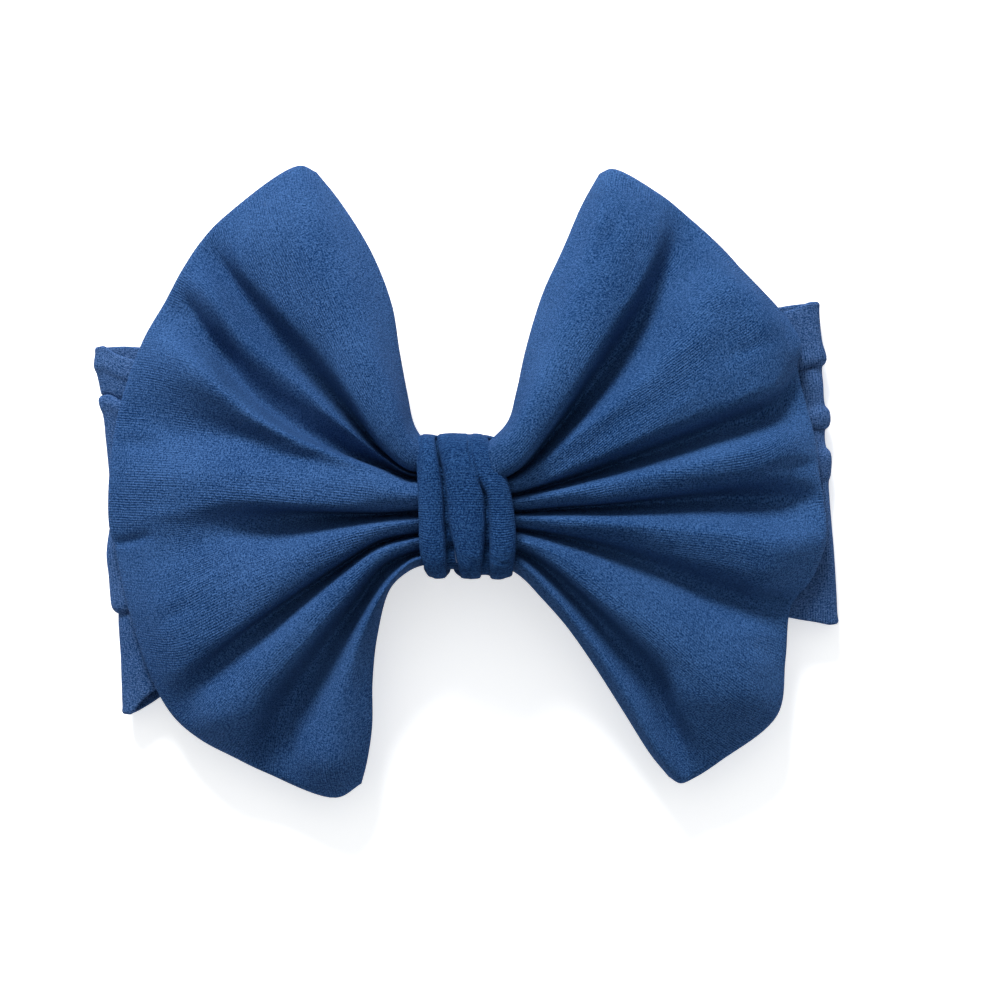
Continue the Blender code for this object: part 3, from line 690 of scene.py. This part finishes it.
def band_line(pleat, side, part, share):
    """Points of one pleat line of a band, along its front part or its fold part."""
    fold_y, end_x, up_front, up_back = pleat
    root_y = BAND_ROOT_Y[0] + (BAND_ROOT_Y[1] - BAND_ROOT_Y[0]) * share
    seam_y = BAND_SEAM_Y[0] + (BAND_SEAM_Y[1] - BAND_SEAM_Y[0]) * share
    points = []
    for x in (*FRONT_PLACES, SPLIT_X) if part == "front" else (SPLIT_X, *FOLD_PLACES):
        w = fan_share(x, BAND_ROOT_X, end_x, share, FRONT_EDGES[side])
        lift = up_front * min(1.0, 0.35 + w)
        points.append((x, root_y + (fold_y - root_y) * w, band_height(x) + lift))
    if part == "front":
        return points
    turn_x = end_x - FOLD_REACH
    for k in range(1, TURN_STEPS):
        a = math.pi * k / TURN_STEPS
        mid_z = FOLD_MIDDLE_Z + 0.6 * up_front * (1 - k / TURN_STEPS)
        points.append((turn_x + FOLD_REACH * math.sin(a), fold_y, mid_z + FOLD_REACH * math.cos(a)))
    for x in (*BACK_PLACES, SEAM_X):
        w = fan_share(x, SEAM_X, turn_x, share, BACK_EDGES[side])
        points.append((x, seam_y + (fold_y - seam_y) * w, BACK_Z + up_back * 0.8))
    return points


def make_band(name, side, part):
    pleats = BAND_PLEATS[side]
    sign = -1.0 if side == "left" else 1.0
    ys = np.array([p[0] for p in pleats])
    shares = (ys - ys[-1]) / (ys[0] - ys[-1])
    net = np.array([band_line(p, side, part, s) for p, s in zip(pleats, shares)], float)
    grid = loft(net, with_round_ends(even_places(len(net), 5), 0.5), even_places(net.shape[1], 7))
    grid = from_band(sign * grid[..., 0], grid[..., 1], grid[..., 2])
    width = arc(grid, 0)
    run = arc(grid, 1)
    grid[..., 2] += 0.1 * value_noise(run / 9, width / 2.4, 41) * smooth_step(run / 8)
    middle = width.shape[0] // 2
    # The band's wales run across it.
    weave = (run, width - width[middle], np.ones(grid.shape[:2]))
    return ribbon(name, grid, BAND_RADIUS, weave)


def simple_strip(name, stations, radius):
    """A small strip with two capped ends, through stations [line, point, xyz]."""
    across = with_round_ends(even_places(len(stations), 4), 0.5)
    grid = loft(stations, across, even_places(len(stations[0]), 6))
    weave = (arc(grid, 1), arc(grid, 0), np.ones(grid.shape[:2]))
    return ribbon(name, grid, radius, weave)


def make_band_center():
    """The stretch of the band inside the wrap, gathered to its width."""
    rows = []
    for k in range(11):
        share = k / 10
        y = BAND_ROOT_Y[1] + (BAND_ROOT_Y[0] - BAND_ROOT_Y[1]) * share
        lift = 0.45 if k % 2 else -0.45
        rows.append([from_band(x, y, band_height(BAND_ROOT_X) + lift) for x in (-9.5, -5, 0, 5, 9.5)])
    return simple_strip("band_center_cloth", rows, 0.95)


WAIST_Z = 25.6
WAIST_HALF_Y = 12.3
WAIST_HALF_Z = 6.3
WAIST_PLEATS = 14


def make_waist():
    """The bow's gathered middle, a roll of pleats that the thread pulls in, hidden in the wrap."""
    turns = 96
    angle = np.arange(turns) * 2 * math.pi / turns
    xs = np.array([-9.5, -8.5, -6.5, -4.5, -3.2, -1.6, 0, 1.6, 3.2, 4.5, 6.0, 7.0, 7.6])
    pinch = 1 - 0.16 * np.exp(-((xs / 3.4) ** 2))
    pinch[[0, -1]] = 0.2
    rows = []
    for x, tight in zip(xs, pinch):
        wave = 1 + 0.05 * np.cos(WAIST_PLEATS * angle)
        rows.append(np.stack([
            np.full(turns, x),
            WRAP_MIDDLE[0] + WAIST_HALF_Y * tight * wave * np.cos(angle),
            WAIST_Z + WAIST_HALF_Z * tight * wave * np.sin(angle),
        ], axis=-1))
    grid = np.array(rows)
    ends = [[x, WRAP_MIDDLE[0], WAIST_Z] for x in (xs[0], xs[-1])]
    points = np.concatenate([grid.reshape(-1, 3), ends])
    faces = []
    for i in range(len(xs) - 1):
        for j in range(turns):
            k = (j + 1) % turns
            faces.append([i * turns + j, i * turns + k, (i + 1) * turns + k, (i + 1) * turns + j])
    low, high = len(points) - 2, len(points) - 1
    for j in range(turns):
        k = (j + 1) % turns
        faces.append([k, j, low])
        faces.append([(len(xs) - 1) * turns + j, (len(xs) - 1) * turns + k, high])
    marks = np.ones((len(points), 3))
    marks[:-2, 0] = np.tile(angle * 9.5, len(xs))
    marks[:-2, 1] = np.repeat(xs, turns)
    return link_mesh("waist_cloth", points, faces, marks)


ALLOWANCE_SECTION = ((-0.9, 3.65), (-2.5, 3.9), (-5, 3.95), (-7.2, 3.85))  # x and z, out from the seam


def make_allowance():
    """The back seam's two cloth edges, turned to the left inside the loop."""
    rows = []
    for k in range(9):
        share = k / 8
        y = BAND_SEAM_Y[1] - 0.4 + (BAND_SEAM_Y[0] - BAND_SEAM_Y[1] + 0.8) * share
        rows.append([from_band(x, y, z) for x, z in ALLOWANCE_SECTION])
    return simple_strip("seam_allowance_cloth", rows, 0.55)


# ---- Materials --------------------------------------------------------------------------------------------
def srgb(r, g, b):
    """Linear colour from 0 to 255 values of a screen colour."""
    screen = (r / 255, g / 255, b / 255)
    linear = tuple(v / 12.92 if v <= 0.04045 else ((v + 0.055) / 1.055) ** 2.4 for v in screen)
    return linear + (1.0,)


def shade(colour, shares):
    """A colour with its red, green and blue each multiplied by a share."""
    return tuple(v * share for v, share in zip(colour, shares)) + (1.0,)


class Nodes:
    """Short ways to write a node tree."""

    def __init__(self, name):
        self.material = bpy.data.materials.new(name)
        self.material.use_nodes = True
        self.tree = self.material.node_tree
        self.tree.nodes.clear()

    def add(self, kind, inputs=(), **facts):
        node = self.tree.nodes.new(kind)
        for key, value in facts.items():
            setattr(node, key, value)
        for key, value in dict(inputs).items():
            socket = node.inputs[key]
            if isinstance(value, bpy.types.NodeSocket):
                self.tree.links.new(value, socket)
            else:
                socket.default_value = value
        return node

    def math(self, operation, a, b=0.0, c=0.0):
        return self.add("ShaderNodeMath", {0: a, 1: b, 2: c}, operation=operation).outputs[0]

    def noise(self, vector, scale, detail=2.0, roughness=0.5):
        return self.add("ShaderNodeTexNoise", {
            "Vector": vector, "Scale": scale, "Detail": detail, "Roughness": roughness,
        }).outputs[0]

    def span(self, value, low, high, to_low=0.0, to_high=1.0):
        inputs = {0: value, 1: low, 2: high, 3: to_low, 4: to_high}
        return self.add("ShaderNodeMapRange", inputs).outputs[0]

    def times(self, a, b):
        return self.math("MULTIPLY", a, b)

    def plus(self, a, b):
        return self.math("ADD", a, b)

    def combine(self, x, y, z=0.0):
        return self.add("ShaderNodeCombineXYZ", {0: x, 1: y, 2: z}).outputs[0]

    def mix(self, share, a, b):
        return self.add("ShaderNodeMix", {"Factor": share, 6: a, 7: b}, data_type="RGBA").outputs[2]


LOOP_PITCH = 0.46  # the loops along a wale
TICK_DEPTH = 0.025  # shares of the bump that the loops, the nap and the flecks have
NAP_DEPTH = 0.16
FUZZ_DEPTH = 0.22
RIB_TONE = 0.22  # how far the wales, the flecks and the nap move the colour from dark to light
FUZZ_TONE = 1.15
NAP_TONE = 1.05
DARK_SHARES = (0.12, 0.34, 0.46)  # the cloth's darkest and lightest threads beside its own colour
LIGHT_SHARES = (2.0, 1.68, 1.47)
LINT_COLOUR = srgb(120, 145, 180)
SHEEN_COLOUR = srgb(85, 135, 215)


def knit_material(name, colour, rib_depth=0.12):
    """Soft brushed double knit: fine wales with a short nap over them, a few lint fibres and a matt bloom."""
    n = Nodes(name)
    weave = n.add("ShaderNodeAttribute", attribute_name="weave").outputs["Vector"]
    across, along, crowd = n.add("ShaderNodeSeparateXYZ", {0: weave}).outputs
    place = n.add("ShaderNodeTexCoord").outputs["Object"]
    # Wales waver a little and fade where they are crowded into a valley.
    slow = n.combine(n.times(across, 0.5), n.times(along, 0.25))
    waver = n.times(n.noise(slow, 1.0), 0.35)
    wale = n.math("SINE", n.times(n.plus(across, waver), 2 * math.pi / RIB_PITCH))
    open_ribs = n.math("DIVIDE", 1.0, n.math("MAXIMUM", crowd, 1.0))
    # Loops tick along each wale.
    wave = n.math("SINE", n.times(across, math.pi / RIB_PITCH))
    slant = n.times(n.math("ABSOLUTE", wave), 0.2)
    tick = n.math("SINE", n.times(n.plus(along, slant), 2 * math.pi / LOOP_PITCH))
    patchy = n.span(n.noise(place, 75.0, 2.0), 0.40, 0.64, 0.25, 0.95)
    ribs = n.times(n.times(wale, open_ribs), patchy)
    nap = n.span(n.noise(place, 2500.0, 3.0, 0.65), 0.32, 0.68)
    fleck = n.combine(n.times(across, 2.0), n.times(along, 3.4))
    fuzz = n.span(n.noise(fleck, 1.0, 3.0, 0.65), 0.32, 0.68)
    soft = n.noise(place, 42.0, 3.0, 0.55)
    height = n.plus(n.times(ribs, rib_depth), n.times(tick, TICK_DEPTH))
    height = n.plus(height, n.times(nap, NAP_DEPTH))
    height = n.plus(height, n.times(fuzz, FUZZ_DEPTH))
    bump = n.add("ShaderNodeBump", {"Strength": 0.85, "Distance": 0.0008, "Height": height}).outputs[0]
    base = srgb(*colour)
    tone = n.plus(n.times(ribs, RIB_TONE), n.span(soft, 0.3, 0.7, 0.34, 0.62))
    tone = n.plus(tone, n.times(n.math("SUBTRACT", fuzz, 0.5), FUZZ_TONE))
    tone = n.plus(tone, n.times(n.math("SUBTRACT", nap, 0.5), NAP_TONE))
    tone = n.math("MAXIMUM", n.math("MINIMUM", tone, 1.0), 0.0)
    cloth = n.mix(tone, shade(base, DARK_SHARES), shade(base, LIGHT_SHARES))
    # Sparse pale lint, drawn out along the wales.
    fibres = n.combine(n.times(across, 1.9), n.times(along, 0.9), 7.0)
    lint = n.noise(fibres, 1.0, 4.0, 0.8)
    cloth = n.mix(n.span(lint, 0.795, 0.83, 0.0, 0.5), cloth, LINT_COLOUR)
    rough = n.span(nap, 0.3, 0.7, 0.86, 1.0)
    shader = n.add("ShaderNodeBsdfPrincipled", {
        "Base Color": cloth, "Roughness": rough, "Normal": bump, "Specular IOR Level": 0.04,
        "Sheen Weight": 0.13, "Sheen Roughness": 0.5, "Sheen Tint": SHEEN_COLOUR,
    })
    n.add("ShaderNodeOutputMaterial", {"Surface": shader.outputs[0]})
    return n.material


def thread_material(name, colour):
    """Twisted sewing thread."""
    n = Nodes(name)
    place = n.add("ShaderNodeTexCoord").outputs["Object"]
    ply = n.add("ShaderNodeTexWave", {
        "Vector": place, "Scale": 900.0, "Distortion": 2.0, "Detail": 2.0,
    }, bands_direction="DIAGONAL").outputs[1]
    base = srgb(*colour)
    cloth = n.mix(ply, shade(base, (0.6, 0.6, 0.6)), shade(base, (1.3, 1.3, 1.3)))
    bump = n.add("ShaderNodeBump", {"Strength": 0.6, "Distance": 0.0001, "Height": ply}).outputs[0]
    rough = n.span(n.noise(place, 1500.0), 0.3, 0.7, 0.55, 0.75)
    shader = n.add("ShaderNodeBsdfPrincipled", {"Base Color": cloth, "Roughness": rough, "Normal": bump})
    n.add("ShaderNodeOutputMaterial", {"Surface": shader.outputs[0]})
    return n.material


def dress(made, material):
    made.data.materials.clear()
    made.data.materials.append(material)


def world_point(x, y, z):
    return tuple((np.array((x, y, z), float) + KNOT) * MM)


# ---- The object -------------------------------------------------------------------------------------------
# Creases and soft dents of the wings: (from, to, width, depth), as seen from above.
LEFT_CREASES = [
    ((-70.5, -7.0), (-79.9, -8.6), 1.1, 1.3),
    ((-69.0, 13.0), (-78.5, 14.5), 1.4, 0.7),
    ((-40.0, -50.0), (-40.6, -57.5), 1.5, 1.4),
    ((-46.5, -47.5), (-53.0, -52.5), 1.2, 1.0),
    ((-63.8, 47.2), (-58.6, 38.4), 1.1, 1.7),
    ((-59.0, 39.2), (-51.5, 30.5), 2.2, 2.4),
    ((-35.5, 58.5), (-37.5, 71.0), 1.6, 0.8),
    ((-60.0, -22.0), (-71.0, -27.5), 1.8, 0.7),
]
RIGHT_CREASES = [
    ((47.0, 46.6), (52.3, 54.3), 1.3, 0.9),
    ((67.0, 8.0), (79.0, 9.7), 1.2, 1.1),
    ((66.5, -20.1), (73.8, -21.9), 1.2, 1.2),
    ((58.0, 32.5), (71.0, 38.0), 1.6, 0.6),
    ((60.0, -30.5), (70.5, -33.5), 2.0, 0.8),
    ((52.0, -45.5), (62.0, -52.5), 1.8, 0.8),
    ((64.0, -4.0), (78.0, -5.5), 1.8, 0.6),
]
LEFT_WING_BLUE = (43, 75, 122)
RIGHT_WING_BLUE = (42, 75, 122)
# The wrap and the hidden waist are the same knit as the wings, given a darker copy of their blue: painted
# shade.
KNOT_BLUE_PAINTED_SHADE = (32, 65, 111)
# The band, its middle and the seam allowance are the same knit as the wings, given a lighter copy of their
# blue: painted light.
BAND_BLUE_PAINTED_LIGHT = (54, 83, 129)
THREAD_BLUE = (70, 96, 140)
left_knit = knit_material("left_wing_knit", LEFT_WING_BLUE)
right_knit = knit_material("right_wing_knit", RIGHT_WING_BLUE)
wrap_knit_painted_shade = knit_material("wrap_knit_painted_shade", KNOT_BLUE_PAINTED_SHADE, rib_depth=0.2)
band_knit_painted_light = knit_material("band_knit_painted_light", BAND_BLUE_PAINTED_LIGHT)
thread = thread_material("blue_thread", THREAD_BLUE)

left_wing = make_wing("left_wing_cloth", LEFT_WING, LEFT_CREASES, 11)
right_wing = make_wing("right_wing_cloth", RIGHT_WING, RIGHT_CREASES, 21)
for wing, material, side in ((left_wing, left_knit, "left"), (right_wing, right_knit, "right")):
    dress(wing, material)
    sign = -1 if side == "left" else 1
    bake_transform(wing)
    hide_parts(side + "_wing_front", side + "_wing_back")

wrap = make_wrap()
dress(wrap, wrap_knit_painted_shade)
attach(wrap, "knot")
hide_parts("center_wrap")

waist = make_waist()
dress(waist, wrap_knit_painted_shade)
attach(waist, "knot")
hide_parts("bow_waist")

for side in ("left", "right"):
    sign = -1 if side == "left" else 1
    front = make_band("band_front_" + side + "_cloth", side, "front")
    fold = make_band("band_fold_" + side + "_cloth", side, "fold")
    for piece in (front, fold):
        dress(piece, band_knit_painted_light)
    inner = world_point(*from_band(sign * 9.0, 0, 15))
    outer = world_point(*from_band(sign * 25.0, 0, 15))
    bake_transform(front)
    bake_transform(fold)
    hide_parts("band_front_" + side)
    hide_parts("band_back_" + side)

centre = make_band_center()
dress(centre, band_knit_painted_light)
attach(centre, "knot")
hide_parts("band_center")

allowance = make_allowance()
dress(allowance, band_knit_painted_light)
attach(allowance, "band_back_left")
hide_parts("band_seam_allowance")

for node in ("gather_thread", "wrap_stitches", "band_seam_thread"):
    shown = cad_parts[node]
    shown.data.materials.clear()
    shown.data.materials.append(thread)


# ---- Floor, light and camera ------------------------------------------------------------------------------
# Lengths are in metres from here on, and lights in watts.
FLOOR_SIZE = 60.0
FLOOR_DROP = 0.0002  # the floor lies this far below the plane of the bow's underside
GLOW_REACH = (0.35, 1.8)  # the floor's glow grows between these distances from its middle
GLOW = (0.52, 0.9)
LOOK_AT = (7.45, 1.13)  # the view's centre, in millimetres from the knot's
CAMERA_HEIGHT = 0.70
SENSOR = 36.0  # the camera's film and lens, in millimetres
LENS = 109.2
SKY_COLOUR = (0.72, 0.88, 1, 1)
SKY_STRENGTH = 0.09


def make_floor():
    half = FLOOR_SIZE / 2
    mesh = bpy.data.meshes.new("floor")
    corners = [(-half, -half, 0), (half, -half, 0), (half, half, 0), (-half, half, 0)]
    mesh.from_pydata(corners, [], [(0, 1, 2, 3)])
    floor = bpy.data.objects.new("floor", mesh)
    bpy.context.collection.objects.link(floor)
    floor.location.z = -FLOOR_DROP
    n = Nodes("floor_white")
    place = n.add("ShaderNodeTexCoord").outputs["Object"]
    tone = n.mix(n.noise(place, 3.0), srgb(250, 250, 250), srgb(253, 253, 253))
    # The lamps light only its middle, so further out the floor glows, and stays pale to the horizon.
    from_middle = n.add("ShaderNodeVectorMath", {0: place}, operation="LENGTH").outputs["Value"]
    glow = n.span(from_middle, *GLOW_REACH, *GLOW)
    shader = n.add("ShaderNodeBsdfPrincipled", {
        "Base Color": tone, "Roughness": 0.95, "Specular IOR Level": 0.0,
        "Emission Color": srgb(250, 250, 250), "Emission Strength": glow,
    })
    n.add("ShaderNodeOutputMaterial", {"Surface": shader.outputs[0]})
    mesh.materials.append(n.material)
    floor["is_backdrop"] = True


def area_light(name, place, size, watts, aim=(0, 0, 0.01)):
    data = bpy.data.lights.new(name, "AREA")
    data.shape = "DISK"
    data.size = size
    data.energy = watts
    lamp = bpy.data.objects.new(name, data)
    bpy.context.collection.objects.link(lamp)
    lamp.location = place
    lamp.rotation_euler = (Vector(aim) - Vector(place)).to_track_quat("-Z", "Y").to_euler()


make_floor()
area_light("key", (-0.26, 1.10, 0.80), 0.45, 30.0)
area_light("overhead", (0.0, 0.25, 1.5), 2.6, 16.0)
area_light("low_fill", (0.2, -0.9, 0.9), 0.9, 0.8)
world = bpy.data.worlds.new("studio")
world.use_nodes = True
background = world.node_tree.nodes["Background"]
background.inputs[0].default_value = SKY_COLOUR
background.inputs[1].default_value = SKY_STRENGTH
bpy.context.scene.world = world
bpy.context.scene.view_settings.view_transform = "Standard"

camera_data = bpy.data.cameras.new("camera")
camera_data.sensor_width = SENSOR
camera_data.lens = LENS
camera = bpy.data.objects.new("camera", camera_data)
bpy.context.collection.objects.link(camera)
camera.location = world_point(LOOK_AT[0], LOOK_AT[1], CAMERA_HEIGHT / MM)
bpy.context.scene.camera = camera

visual_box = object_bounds()
({
    "cad": [list(corner) for corner in cad_box],
    "visual": [list(corner) for corner in visual_box],
})
